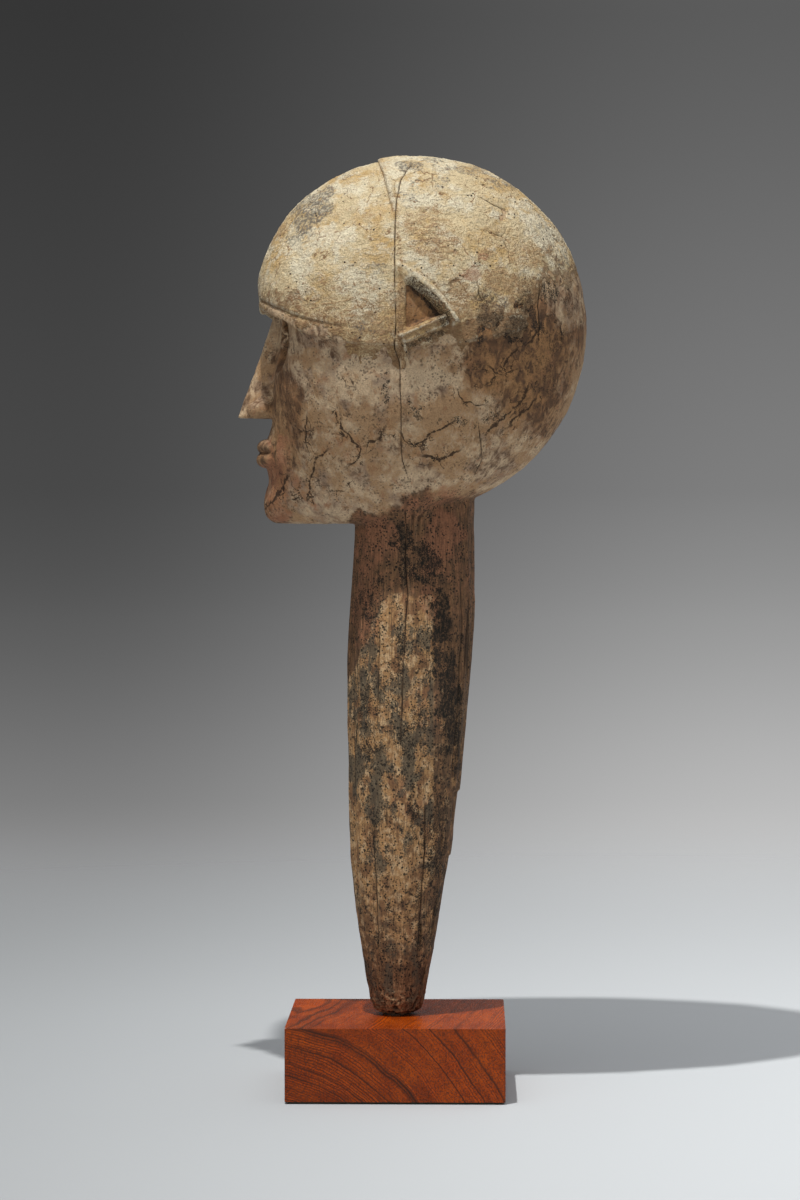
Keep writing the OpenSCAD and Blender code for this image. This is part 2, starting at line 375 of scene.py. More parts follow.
def normals_of(points, quads):
    """Each point's normal: the mean of its faces' normals."""
    a, b, c, d = (points[quads[:, i]] for i in range(4))
    total = summed(np.cross(c - a, d - b), quads, len(points))
    return total / np.maximum(np.linalg.norm(total, axis=1, keepdims=True), 1e-9)


def raised_and_sunk(points, quads, normals):
    """Masks of the edges and welts that stand up, which get painted highlights, and of the corners and
    grooves that lie deep, which get painted shade.
    """
    times_met = np.bincount(quads.ravel(), minlength=len(points))[:, None]
    smoothed = points
    for _ in range(5):
        smoothed = summed(smoothed[quads].mean(1), quads, len(points)) / times_met
    stands = ((points - smoothed) * normals).sum(1)
    return ramp(stands, 0.08, 0.45), ramp(stands, -0.08, -0.45)


# --- weathering
LEFT, RIGHT = 1, -1
SIDE, REAR = (1, 2), (0, 2)

# Cracks on each side: the axes that their points are given on and the sign of the third axis there,
# then the width and depth of each crack and the points that it runs through.
CRACKS = (
    (SIDE, LEFT, (
        (0.45, 0.9, ((15, 644), (8, 636), (3, 627), (1, 612), (0, 585), (0, 560), (1, 530), (0, 512),
                     (3, 503), (4, 470), (4, 448), (5, 437), (9, 422))),
        (0.6, 1.2, ((30, 638), (34, 633), (39, 629))),
        (0.45, 0.6, ((52, 618), (66, 611), (80, 606))),
        (0.5, 0.9, ((60, 592), (72, 589), (77, 596))),
        (0.6, 1.2, ((72, 589), (75, 583), (79, 575))),
        (0.5, 0.9, ((88, 600), (91, 592), (90, 586))),
        (0.55, 1.0, ((55, 560), (57, 548), (62, 538))),
        (0.5, 0.9, ((98, 563), (97, 545), (98, 528), (97, 510))),
        (0.5, 1.1, ((57, 466), (58, 449), (59, 438), (51, 421))),
        (0.5, 1.5, ((6, 410), (7, 392), (6, 372), (8, 345), (5, 300), (4, 262), (3, 236))),
        (0.5, 0.9, ((-12, 330), (-12, 300), (-13, 262))),
        (0.5, 1.1, ((-29, 340), (-30, 290), (-29, 205))),
        (0.5, 1.3, ((44, 352), (45, 318), (42, 262), (38, 214))),
        (0.5, 1.2, ((20, 205), (19, 160), (14, 92))),
        (0.5, 0.9, ((-17, 190), (-14, 140), (-12, 92))),
    )),
    (SIDE, RIGHT, (
        (0.5, 1.2, ((5, 500), (3, 466), (7, 440))),
        (0.5, 1.2, ((66, 470), (60, 440), (52, 418))),
        (0.5, 1.2, ((40, 610), (52, 596), (60, 574))),
        (0.5, 1.5, ((14, 400), (12, 340), (15, 270), (11, 210))),
        (0.5, 1.1, ((-16, 300), (-14, 240), (-15, 160))),
    )),
    (REAR, LEFT, (
        (0.5, 1.2, ((-9, 560), (-6, 520), (-10, 480), (-8, 452))),
        (0.5, 1.2, ((10, 396), (8, 330), (12, 250), (9, 180))),
    )),
    (REAR, RIGHT, (
        (0.5, 1.2, ((-7, 372), (-9, 300), (-6, 220), (-8, 150))),
    )),
)


def near_route(places, route):
    """Distance from each place to a line through the route's points, below 0 on one side of it, and
    how far the place is from the line's ends."""
    nearest = np.full(len(places), 1e9)
    for (a0, b0), (a1, b1) in zip(route, route[1:]):
        run_a, run_b = a1 - a0, b1 - b0
        along = ((places[:, 0] - a0) * run_a + (places[:, 1] - b0) * run_b) / (run_a**2 + run_b**2)
        along = np.clip(along, 0, 1)
        off_a, off_b = places[:, 0] - a0 - along * run_a, places[:, 1] - b0 - along * run_b
        distance = np.hypot(off_a, off_b)
        side = np.where(run_a * off_b > run_b * off_a, 1, -1)
        nearest = np.where(distance < np.abs(nearest), distance * side, nearest)
    ends = [np.hypot(places[:, 0] - a, places[:, 1] - b) for a, b in (route[0], route[-1])]
    return nearest, np.minimum(*ends)


def near_box(flat, route, margin):
    """Which places lie within margin of the box round a route."""
    return (flat > np.min(route, 0) - margin).all(1) & (flat < np.max(route, 0) + margin).all(1)


def wandering(points, size, amount, seed):
    """A small sideways move for each point, so that a line drawn through points isn't straight."""
    return np.stack([noise(points, size, seed, 2), noise(points, size, seed + 30, 2)], -1) * amount


def cracks(points):
    """At each point: the depth of the cracks, how strong the nearest one is, and the distance to it,
    below 0 on one side. The distance draws a line finer than the mesh."""
    depth, strength, off = np.zeros(len(points)), np.zeros(len(points)), np.full(len(points), 5.0)
    rows = [(axes, sign, *crack) for axes, sign, group in CRACKS for crack in group]
    for number, (axes, sign, width, deepest, route) in enumerate(rows):
        facing = points[:, 0 if axes == SIDE else 1] * sign > 0
        near = np.nonzero(facing & near_box(points[:, axes], route, 6))[0]
        places = points[near][:, axes] + wandering(points[near], 14, 0.35, 60 + number)
        away, from_end = near_route(places, route)
        fade = ramp(from_end, 0, 14) * (0.8 + 0.35 * noise(points[near], 7, number))
        depth[near] = np.maximum(depth[near], deepest * fade * bell(away, width))
        keep_strongest(strength, off, near, fade * ramp(np.abs(away), 2.6, 1.5), away)
    return depth, strength, off


def keep_strongest(strength, off, near, new_strength, new_off):
    """Puts a line's strength and distance at the points where it is stronger than those before it."""
    stronger = new_strength > strength[near]
    strength[near[stronger]] = new_strength[stronger]
    off[near[stronger]] = new_off[stronger]


def side_view(points):
    """Y and Z of each point, for what lies on the sides. The right side's are warped, to differ."""
    x, y, z = points.T
    right = ramp(x, 20, -20)
    return np.stack([y + right * (5 + 8 * np.sin(z / 33)), z + right * 7 * np.sin(y / 27)], -1)


def patches(points, flat, spots, seed, rough=0.3):
    """How strong the strongest of several ragged ovals is at each point."""
    strongest = np.zeros(len(points))
    for number, (y, z, wide, tall, strength) in enumerate(spots):
        near = np.nonzero(near_box(flat, ((y, z),), np.array((2 * wide, 2 * tall))))[0]
        away = np.hypot((flat[near, 0] - y) / wide, (flat[near, 1] - z) / tall)
        away += rough * noise(points[near], 0.9 * min(wide, tall), seed + number, 3)
        strongest[near] = np.maximum(strongest[near], strength * ramp(away, 1.3, 0.5))
    return strongest


# Lower edge of the earthen crust on the side of the head, from front to back: Y and Z.
CRUST_EDGE = np.array([
    (-125, 543), (-80, 540), (-66, 528), (-52, 516), (-40, 518), (-30, 511), (-6, 512), (2, 500), (7, 498),
    (9, 509), (20, 515), (31, 520), (37, 524), (41, 519), (45, 509), (54, 515), (60, 528), (72, 524),
    (84, 521), (90, 528), (98, 545), (101, 561), (111, 565), (118, 560), (124, 573), (140, 574),
])
# How deep the crust's inside lies in the wood, and the thickness at which the crust ends.
SHELL_IN, RIM_DEPTH = 1.2, -1.15


def crust_depth(points, flat):
    """Thickness of the earthen crust at each point, below 0 where it has come away, and how worn it
    is near its edge, from 0 to 1."""
    x, y, z = points.T
    edge = np.interp(flat[:, 0], CRUST_EDGE[:, 0], CRUST_EDGE[:, 1])
    edge = np.maximum(edge, np.where(y < -45, brow_line(x) + 1, 0))
    ragged = 1 + 0.9 * ramp(np.abs(flat[:, 0] - 20), 24, 40)
    inside = flat[:, 1] - edge + ragged * (3 * noise(points, 14, 301, 3) + 1.4 * noise(points, 3.5, 302, 2))
    lost = ramp(noise(points, 12, 303, 3) + 0.4 * noise(points, 3, 304, 2), 1.35, 1.5) * ramp(y, -30, 40)
    lost = np.maximum(lost, ramp(ears(x, y, z), -0.6, -2))
    depth = 0.8 + 0.2 * noise(points, 13, 305, 3) + 0.17 * noise(points, 1.9, 306, 2)
    depth *= 0.4 + 0.6 * ramp(inside, 0, 30)
    worn = ramp(inside + 8 * noise(points, 22, 307, 2), 30, 0) * (0.66 + 0.34 * ramp(y, 20, 55))
    return -SHELL_IN + (np.maximum(depth, 0.2) + SHELL_IN) * ramp(inside, -0.6, 0.8) * (1 - lost), worn


def weather(points, normals, crack_depth):
    """Moves the wood's surface in and out by its tool marks, grain, checks, cracks and worn foot."""
    z = points[:, 2]
    on_post = ramp(z, 408, 396)
    marks = 0.45 * noise(points, 22, 1, 2) + 0.12 * noise(points, 5, 2, 2)
    grain = 0.2 * noise(points, 2.4, 3, 2, (1, 1, 16)) + 0.16 * noise(points, 7, 4, 1, (1, 1, 12))
    checks = ramp(noise(points, 5, 5, 2, (1, 1, 14)) + 0.4 * noise(points, 40, 8), -1.0, -1.35)
    fibres = 0.1 * noise(points, 2, 6, 2, (1, 1, 4))
    foot = ramp(z, FOOT_Z + 26, FOOT_Z + 4)
    crumbs = np.abs(noise(points, 4.5, 7, 3)) * 1.5 * foot
    out = marks * (1 - 0.5 * on_post) + on_post * (grain - 0.8 * checks) + (1 - on_post) * fibres
    out = out - crumbs - crack_depth
    bored = ramp(np.hypot(points[:, 0], points[:, 1]), BORE_R + 1, BORE_R + 3)
    moved = points + normals * (out * bored)[:, None]
    moved[:, 2] = np.maximum(moved[:, 2], FOOT_Z)
    # The mask returned marks the checks, and the deepest pits of the crumbled foot, whose black is painted
    # shade.
    return moved, np.maximum(0.6 * checks * on_post, 0.6 * ramp(crumbs, 0.9, 1.9))


# --- stains, with painted shade and light, as masks on the mesh
# Patches on the sides: the middle in Y and Z, the radii along them, and the strength of each.
# The first three patches below lie under the ear's fold and are painted shade there; the others are soot.
SOOT_AND_SHADE = (
    (11, 514, 6, 1.8, 0.9), (20, 518, 6, 1.8, 0.9), (29, 522, 6, 1.8, 0.9), (30, 150, 8, 40, 0.6),
    (66, 530, 8, 12, 1.0), (80, 528, 12, 8, 0.9), (60, 545, 5, 9, 0.6), (88, 541, 8, 11, 0.7),
    (56, 519, 4, 7, 0.5), (98, 527, 5, 5, 0.7), (90, 557, 6, 6, 0.45), (103, 553, 8, 11, 0.65),
    (-6, 484, 3, 8, 0.6), (15, 469, 5, 4, 0.7), (9, 478, 4, 4, 0.5), (43, 463, 6, 3, 0.6),
    (13, 447, 4, 3, 0.6), (26, 438, 4, 3, 0.5), (66, 465, 8, 4, 0.5), (112, 523, 5, 9, 0.5),
    (104, 492, 10, 12, 0.35), (118, 545, 4, 10, 0.45), (4, 384, 7, 11, 0.85), (20, 366, 11, 15, 0.8),
    (7, 366, 6, 20, 0.7), (-10, 352, 4, 12, 0.5), (-22, 336, 6, 12, 0.6), (-16, 372, 3, 9, 0.35),
    (31, 330, 6, 22, 1.0), (36, 298, 9, 30, 0.95), (37, 262, 8, 26, 0.85), (42, 232, 5, 26, 0.6),
    (3, 310, 3, 26, 0.65), (-22, 268, 6, 16, 0.6), (-12, 276, 6, 14, 0.4), (-4, 296, 5, 9, 0.4),
    (16, 262, 6, 18, 0.5), (6, 244, 7, 20, 0.5), (-17, 240, 9, 12, 0.5), (12, 196, 4, 20, 0.7),
    (-16, 180, 4, 18, 0.6), (20, 178, 5, 28, 0.5), (28, 190, 5, 40, 0.5), (16, 120, 4, 34, 0.6),
    (-2, 120, 6, 16, 0.45), (-8, 104, 8, 12, 0.4), (-26, 110, 4, 30, 0.35), (-27, 320, 3, 70, 0.35),
)
SMUDGES = (
    (-56, 610, 14, 15, 0.75), (-63, 600, 9, 11, 0.7), (-77, 615, 10, 5, 0.55), (-87, 605, 6, 9, 0.5),
    (-67, 588, 7, 7, 0.45), (12, 640, 13, 6, 0.7), (24, 644, 9, 4, 0.6), (48, 637, 20, 5, 0.55),
    (78, 629, 17, 6, 0.5), (30, 627, 10, 6, 0.45), (10, 621, 7, 10, 0.4), (-11, 563, 6, 5, 0.45),
    (114, 573, 6, 8, 0.5), (-22, 525, 8, 6, 0.45), (-40, 634, 20, 4, 0.3), (100, 596, 8, 16, 0.3),
    (18, 590, 16, 30, 0.25), (70, 545, 16, 8, 0.35),
)
WARM = (
    (19, 596, 18, 20, 0.5), (33, 578, 20, 12, 0.6), (60, 574, 7, 5, 0.7), (76, 585, 18, 12, 0.35),
    (93, 577, 16, 11, 0.6), (-20, 601, 9, 6, 0.35), (-84, 596, 12, 12, 0.6), (-48, 556, 7, 5, 0.35),
    (45, 545, 12, 16, 0.75), (70, 554, 20, 14, 0.8), (88, 548, 14, 16, 0.8), (-33, 510, 9, 4, 0.6),
    (-10, 513, 7, 5, 0.6), (22, 521, 17, 8, 0.55), (46, 518, 8, 11, 0.6), (-30, 530, 34, 14, 0.3),
)
RUST = (
    (52, 562, 6, 5, 0.8), (59, 573, 4, 3, 0.8), (-84, 424, 16, 26, 0.9), (-68, 412, 20, 10, 0.4),
    (-14, 384, 16, 20, 0.75), (32, 382, 14, 24, 0.85), (-22, 340, 9, 40, 0.6), (22, 340, 8, 14, 0.75),
    (36, 414, 10, 6, 0.5), (-30, 446, 22, 10, 0.3), (20, 262, 12, 26, 0.35), (8, 206, 12, 12, 0.3),
)
BARE = (
    (88, 512, 42, 38, 1.0), (58, 502, 20, 16, 0.7), (100, 474, 22, 20, 0.5), (-76, 470, 14, 36, 0.5),
)

# Dark root-like stains: the points that each runs through, and its width.
VEINS = (
    (((-38, 470), (-36, 458), (-28, 450), (-23, 444), (-29, 435), (-35, 431)), 1.2),
    (((-23, 444), (-17, 449), (-11, 452), (-5, 462)), 1.4),
    (((-43, 458), (-36, 456), (-28, 449)), 1.0),
    (((-44, 446), (-52, 441), (-56, 434), (-59, 423), (-60, 414), (-63, 407)), 1.2),
    (((-59, 421), (-66, 418)), 0.9),
    (((-73, 430), (-80, 417), (-82, 412), (-95, 402)), 1.4),
    (((-64, 412), (-76, 409)), 0.9),
    (((1, 456), (8, 449), (13, 447), (25, 455), (43, 463)), 1.0),
    (((16, 440), (31, 437), (45, 446)), 1.1),
    (((60, 452), (71, 464), (86, 478), (92, 490)), 1.1),
    (((75, 458), (86, 468), (97, 481)), 1.1),
    (((86, 512), (99, 526)), 1.0),
    (((113, 531), (113, 517)), 1.1),
    (((-60, 470), (-62, 452), (-58, 440)), 0.8),
    (((-48, 415), (-34, 418)), 0.8),
    (((-30, 494), (-26, 484)), 0.9),
    (((62, 500), (74, 494), (84, 500)), 0.8),
    (((40, 486), (48, 476), (62, 474)), 0.7),
    (((60, 486), (74, 500), (84, 516)), 0.8),
)


def veins(points, flat):
    """How near each point is to a dark root-like stain, from 0 to 1, and its distance over the
    stain's width, below 0 on one side."""
    strength, off = np.zeros(len(points)), np.full(len(points), 9.0)
    for number, (route, width) in enumerate(VEINS):
        near = np.nonzero(near_box(flat, route, 9))[0]
        away, from_end = near_route(flat[near] + wandering(points[near], 6, 1.1, 130 + number), route)
        keep_strongest(strength, off, near, ramp(np.abs(away), 8, 2) * ramp(from_end, -2, 6), away / width)
    return strength, off


# Heights where the post's bare wood starts, where its tan stretch starts and where lichen is thickest. The
# tan stretch's slanted top follows the edge of the jaw's shadow, so the tan is partly stain and partly
# painted light.
NECK_Z, LIT_TAN_TOP_Z, LICHEN_Z = 386, 347, 240


def stains(points, flat):
    """Masks from 0 to 1 that say how much of each stain, coat and wear is where, and where shade and light
    are painted.
    """
    x, y, z = points.T
    neck = NECK_Z + 14 * ramp(flat[:, 0], -36, -28) + 14 * ramp(flat[:, 0], -8, 16)
    neck += 3 * noise(points, 6, 75, 3, (1, 1, 2))
    on_post = ramp(z, neck + 8, neck - 8)
    chin = patches(points, flat, [(-88, 420, 16, 34, 1.0)], 40)
    bare = patches(points, flat, BARE, 50)
    # Painted shade in the eye sockets: all but the lids get less wash and some black.
    socket = ramp(ellipsoid(np.abs(x), y, z, (EYE_W + 1, FACE_Y + 1, EYE_Z - 1), (25, 15, 22)), 1, -2)
    across = np.abs(x) - EYE_W
    lids = np.where(np.abs(across) < EYE_W / 2, ramp(eye_marks(across, z - EYE_Z), 0.5, 1.3), 0)
    socket = socket * (1 - 0.9 * lids) * ramp(y, -50, -60)
    inner_ear = ramp(ears(x, y, z), -0.3, -1.5)
    # Fewer marks lie on the right side than on the left.
    missing = np.maximum(ramp(noise(points, 30, 90, 2), 0.3, -0.2), ramp(y, -25, -50))
    kept = 1 - 0.9 * ramp(x, 8, -12) * missing
    under_crust = patches(points, flat, [(-12, 492, 52, 17, 1.0)], 60)
    wash = 0.66 - 0.6 * bare - 0.45 * chin + 0.2 * ramp(z, 440, 410) - 0.7 * socket - 0.7 * inner_ear
    wash += 0.35 * under_crust
    pale = 0.42 + 0.12 * ramp(z, 485, 515) + 0.1 * ramp(z, 445, 415) + 0.25 * under_crust - 0.6 * bare
    # Painted light: the tan's top edge slants with the edge of the jaw's shadow, and above it the post
    # stays darker.
    top = LIT_TAN_TOP_Z - 2.2 * np.maximum(-6 - flat[:, 0], 0) + 3 * noise(points, 9, 70, 3)
    ochre_and_painted_light = ramp(z, top + 1, top - 4) * ramp(flat[:, 0], 28, 24) * (0.55 + 0.45 * ramp(z, 120, 170))
    ochre_and_painted_light = np.maximum(ochre_and_painted_light, 0.3 * ramp(z, 330, 250)) * ramp(z, 70, 110)
    rusty = 0.42 + 0.3 * noise(points, 18, 71, 3, (1, 1, 2))
    vein, vein_off = veins(points, flat)
    soot_and_shade = 0.85 * patches(points, flat, SOOT_AND_SHADE, 80, 0.5) * kept
    crust_brown = 0.72 * ramp(z, 582, 522) + 0.5 * bell(y - hairline(z) - 1, 2.5)
    return {
        "wash": np.clip(wash, 0.03, 1) * (1 - on_post) + 0.5 * ramp(z, 86, 62),
        "pale": np.clip(pale, 0, 1) * (1 - on_post),
        "soot_and_shade": np.maximum(soot_and_shade, np.maximum(0.35 * socket, ear_soot_and_shade(x, y, z))),
        "smudge": patches(points, flat, SMUDGES, 150, 0.45) * kept,
        "warm": np.maximum(patches(points, flat, WARM, 110), crust_brown),
        "rust": np.maximum(patches(points, flat, RUST, 180) * kept, rusty * on_post * ramp(z, 320, 360)),
        "ochre_and_painted_light": ochre_and_painted_light * on_post,
        "lichen": np.maximum(ochre_and_painted_light, 0.95 * ramp(z, 150, 80)) * on_post,
        "vein": vein * (1 - on_post) * kept,
        "vein_off": vein_off,
        "post": on_post,
    }


# --- materials
# Half width of the black line that marks a crack, in millimetres.
CRACK_LINE = 0.19


class Finish:
    """A material in the making, with short ways to add nodes. Sizes are in millimetres."""

    def __init__(self, name, kind=bpy.data.materials):
        self.made = kind.new(name)
        self.made.use_nodes = True
        self.nodes, self.links = self.made.node_tree.nodes, self.made.node_tree.links
        self.coordinates = self.nodes.new("ShaderNodeTexCoord").outputs
        self.place, self.colour = self.coordinates["Object"], None

    def feed(self, socket, value):
        if isinstance(value, bpy.types.NodeSocket):
            self.links.new(value, socket)
        elif socket.type == "RGBA":
            socket.default_value = (*value, 1)
        else:
            socket.default_value = value

    def add(self, kind, inputs, **settings):
        made = self.nodes.new("ShaderNode" + kind)
        for setting, value in settings.items():
            setattr(made, setting, value)
        for socket, value in inputs.items():
            self.feed(made.inputs[socket], value)
        return made.outputs

    def mask(self, name):
        return self.add("Attribute", {}, attribute_name=name)["Fac"]

    def scaled(self, size, stretch, seed):
        scale = [1 / (size * MM * s) for s in stretch]
        inputs = {"Vector": self.place, "Location": (seed, seed * 2.3, seed * 4.1), "Scale": scale}
        return self.add("Mapping", inputs)[0]

    def noise(self, size, detail=3, stretch=(1, 1, 1), seed=0, bend=0):
        """Noise from 0 to 1 with lumps about size across, stretched along the axes."""
        inputs = {"Vector": self.scaled(size, stretch, seed), "Scale": 1, "Detail": detail,
                  "Roughness": 0.6, "Distortion": bend}
        return self.spread(self.add("TexNoise", inputs)["Fac"], 0.3, 0.7)

    def cells(self, size, seed=0, feature="F1", bend=0):
        """Distance from the nearest of the points strewn about size apart, or from a cell's edge."""
        place = self.scaled(size, (1, 1, 1), seed)
        if bend:
            bent = self.add("TexNoise", {"Vector": place, "Scale": 2, "Detail": 4})["Color"]
            bent = self.add("VectorMath", {0: bent, "Scale": bend}, operation="SCALE")[0]
            place = self.add("VectorMath", {0: place, 1: bent}, operation="ADD")[0]
        return self.add("TexVoronoi", {"Vector": place, "Scale": 1}, feature=feature)["Distance"]

    def crack_line(self):
        """A thin black line where the mesh's distance to a crack is near 0."""
        off = self.math("ABSOLUTE", self.mask("crack_off"))
        return self.times(self.spread(off, CRACK_LINE * 1.5, CRACK_LINE * 0.6), self.mask("crack"))

    def spread(self, value, low, high):
        """0 where the value is low, 1 where it is high, smooth between."""
        inputs = {"Value": value, "From Min": low, "From Max": high}
        return self.add("MapRange", inputs, interpolation_type="SMOOTHSTEP")[0]

    def math(self, operation, a, b=0.0):
        return self.add("Math", {0: a, 1: b}, operation=operation)[0]

    def cover(self, mask, texture, softness=0.12):
        """A mask with its edge broken up by a texture: 1 where the two together pass 1."""
        return self.spread(self.math("ADD", mask, texture), 1 - softness, 1 + softness)

    def mix(self, low, high, amount):
        return self.add("Mix", {0: amount, 6: low, 7: high}, data_type="RGBA")[2]

    def level(self, low, high, amount):
        """A number that goes from low to high with the amount."""
        return self.add("MapRange", {"Value": amount, "To Min": low, "To Max": high})[0]

    def times(self, a, b):
        return self.math("MULTIPLY", a, b)

    def either(self, a, b):
        return self.math("MAXIMUM", a, b)

    def away(self, value, middle):
        return self.math("ABSOLUTE", self.math("SUBTRACT", value, middle))

    def paint(self, colour, mask, amount=None):
        """Lays a colour over what is there already, where the mask is, or the mask times an amount."""
        self.colour = self.mix(self.colour, colour, mask if amount is None else self.times(mask, amount))

    def finish(self, roughness, reliefs, constants):
        """Joins up the shader. Each relief is a height from 0 to 1 and how many millimetres 1 is."""
        shader = self.nodes["Principled BSDF"].inputs
        self.feed(shader["Base Color"], self.colour)
        self.feed(shader["Roughness"], roughness)
        bumps = {}
        for height, distance in reliefs:
            bumps["Height"] = height
            bumps["Distance"] = distance * MM
            bumps["Normal"] = self.add("Bump", bumps)[0]
        self.feed(shader["Normal"], bumps["Normal"])
        for name, value in constants.items():
            shader[name].default_value = value
        return self.made


# Colours, as linear red, green and blue.
DARK_WOOD, BARE_WOOD, AMBER_WOOD = (0.092, 0.055, 0.036), (0.27, 0.143, 0.070), (0.43, 0.235, 0.10)
WASH, GREY_WASH, PALE_WASH = (0.43, 0.27, 0.145), (0.36, 0.255, 0.175), (0.66, 0.50, 0.325)
RUST_RED, TAN, SAND = (0.40, 0.170, 0.095), (0.49, 0.28, 0.125), (0.66, 0.45, 0.25)
# The first black below is for soot, black specks and painted shade; the last is for cracks, checks and
# painted shade in the foot's pits.
NEAR_BLACK, VEIN_BROWN, DEEP_BLACK = (0.016, 0.017, 0.015), (0.040, 0.024, 0.016), (0.006, 0.005, 0.004)
CREAM, YELLOW_EARTH, WHITE_EARTH = (0.77, 0.63, 0.39), (0.66, 0.45, 0.20), (0.90, 0.83, 0.63)
SMUDGE_GREY, UNDER_BROWN, WARM_EARTH = (0.165, 0.158, 0.138), (0.27, 0.155, 0.075), (0.47, 0.295, 0.14)
LICHEN_GREY = (0.085, 0.081, 0.062)


def weathered_wood():
    """Old carved wood: washed with pale earth on the head, stained and sooted on the post, with painted
    highlights on its edges and painted shade in its grooves, ear and eye sockets.
    """
    f = Finish("weathered_wood")
    clouds, mottle, fine = f.noise(30, 6), f.noise(6, 6, seed=3), f.noise(1.1, 3, seed=5)
    post, vein = f.mask("post"), f.mask("vein")
    head_grain = f.noise(4, 6, (1, 1.5, 2.2), seed=31, bend=0.8)
    grain = f.mix(head_grain, f.noise(1.6, 4, (1, 1, 9), bend=0.3), post)
    blotches = f.mix(mottle, grain, 0.4)
    f.colour = f.mix(DARK_WOOD, BARE_WOOD, f.mix(grain, mottle, 0.4))
    f.paint(AMBER_WOOD, f.cover(0.42, f.mix(clouds, grain, 0.5), 0.25), f.level(0.75, 0.2, post))
    pale = f.mix(f.mix(f.noise(17, 7, seed=6), grain, 0.35), fine, 0.2)
    wash = f.mix(GREY_WASH, WASH, f.spread(clouds, 0.2, 0.6))
    wash = f.mix(wash, PALE_WASH, f.times(f.cover(f.mask("pale"), pale, 0.2), 0.85))
    f.paint(wash, f.cover(f.mask("wash"), f.mix(f.mix(clouds, grain, 0.45), fine, 0.15), 0.24))
    f.paint(BARE_WOOD, f.cover(0.25, f.mix(mottle, grain, 0.5), 0.2), 0.6)
    tan = f.mix(TAN, SAND, f.cover(0.35, f.noise(5, 5, seed=11), 0.3))
    tan = f.mix(tan, BARE_WOOD, f.cover(0.3, f.noise(9, 7, (1, 1, 1.6), seed=12), 0.15))
    # Tan stain, partly painted light: it stops at the edge of the jaw's shadow.
    f.paint(tan, f.cover(f.mask("ochre_and_painted_light"), f.mix(mottle, fine, 0.3), 0.2))
    f.paint(RUST_RED, f.cover(f.mask("rust"), blotches, 0.45), 0.62)
    lines = f.noise(0.9, 3, (1, 1, 22), seed=8, bend=0.2)
    f.paint(DARK_WOOD, f.cover(0.25, lines, 0.15), f.level(0.0, 0.6, post))
    height = f.add("SeparateXYZ", {0: f.place})["Z"]
    grown = f.level(0.34, 0.5, f.spread(f.away(height, LICHEN_Z * MM), 60 * MM, 30 * MM))
    lichen = f.cover(grown, f.mix(f.noise(13, 8, (1, 1, 1.7), seed=32), fine, 0.25), 0.1)
    f.paint(LICHEN_GREY, lichen, f.times(f.mask("lichen"), 0.8))
    crowd = f.level(0.3, 0.85, f.either(lichen, f.times(post, 0.55)))
    dots = f.either(f.spread(f.cells(1.9, seed=14), 0.4, 0.28), f.spread(f.cells(4.5, seed=26), 0.26, 0.18))
    dots = f.times(dots, f.cover(crowd, f.noise(7, 5, seed=33), 0.2))
    f.paint(NEAR_BLACK, dots, f.level(0.55, 0.92, post))
    # Painted highlight: the raised edges and welts are painted sandy.
    f.paint(SAND, f.mask("raised"), f.level(0.35, 0.3, post))
    # Painted shade: the sunk corners and grooves are painted dark.
    f.paint(DARK_WOOD, f.mask("sunk"), 0.75)
    f.paint(AMBER_WOOD, f.cover(f.times(vein, 0.62), blotches, 0.3), 0.4)
    twigs = f.spread(f.cells(11, seed=23, feature="DISTANCE_TO_EDGE", bend=0.9), 0.035, 0.01)
    twigs = f.times(twigs, f.cover(f.times(vein, 0.6), f.noise(9, 3, seed=24), 0.15))
    ragged = f.level(-0.8, 0.8, f.mix(f.noise(3, 5, seed=25), fine, 0.4))
    root = f.spread(f.math("ADD", f.math("ABSOLUTE", f.mask("vein_off")), ragged), 0.85, 0.3)
    f.paint(VEIN_BROWN, f.either(f.times(root, vein), twigs), 0.92)
    soot_edge = f.mix(f.noise(3.4, 8, (1, 1, 1.8), seed=16), f.noise(0.8, 2, seed=17), 0.55)
    flecks = f.spread(f.noise(1.5, 3, (1, 1, 1.5), seed=34), 0.66, 0.5)
    # Soot, and painted shade on the ear's inner wall, under its fold and in the eye sockets.
    f.paint(NEAR_BLACK, f.cover(f.mask("soot_and_shade"), soot_edge, 0.14), f.level(0.6, 0.97, flecks))
    # Cracks and checks are drawn black; in the foot's deepest pits the black is painted shade.
    f.paint(DEEP_BLACK, f.either(f.mask("hollow"), f.crack_line()))
    f.paint(DARK_WOOD, f.cover(0.4, fine, 0.3), 0.3)
    roughness = f.level(0.66, 0.92, f.mix(fine, f.mask("wash"), 0.6))
    return f.finish(roughness, ((grain, 0.2), (fine, 0.2), (mottle, 0.2)), {"Specular IOR Level": 0.12})


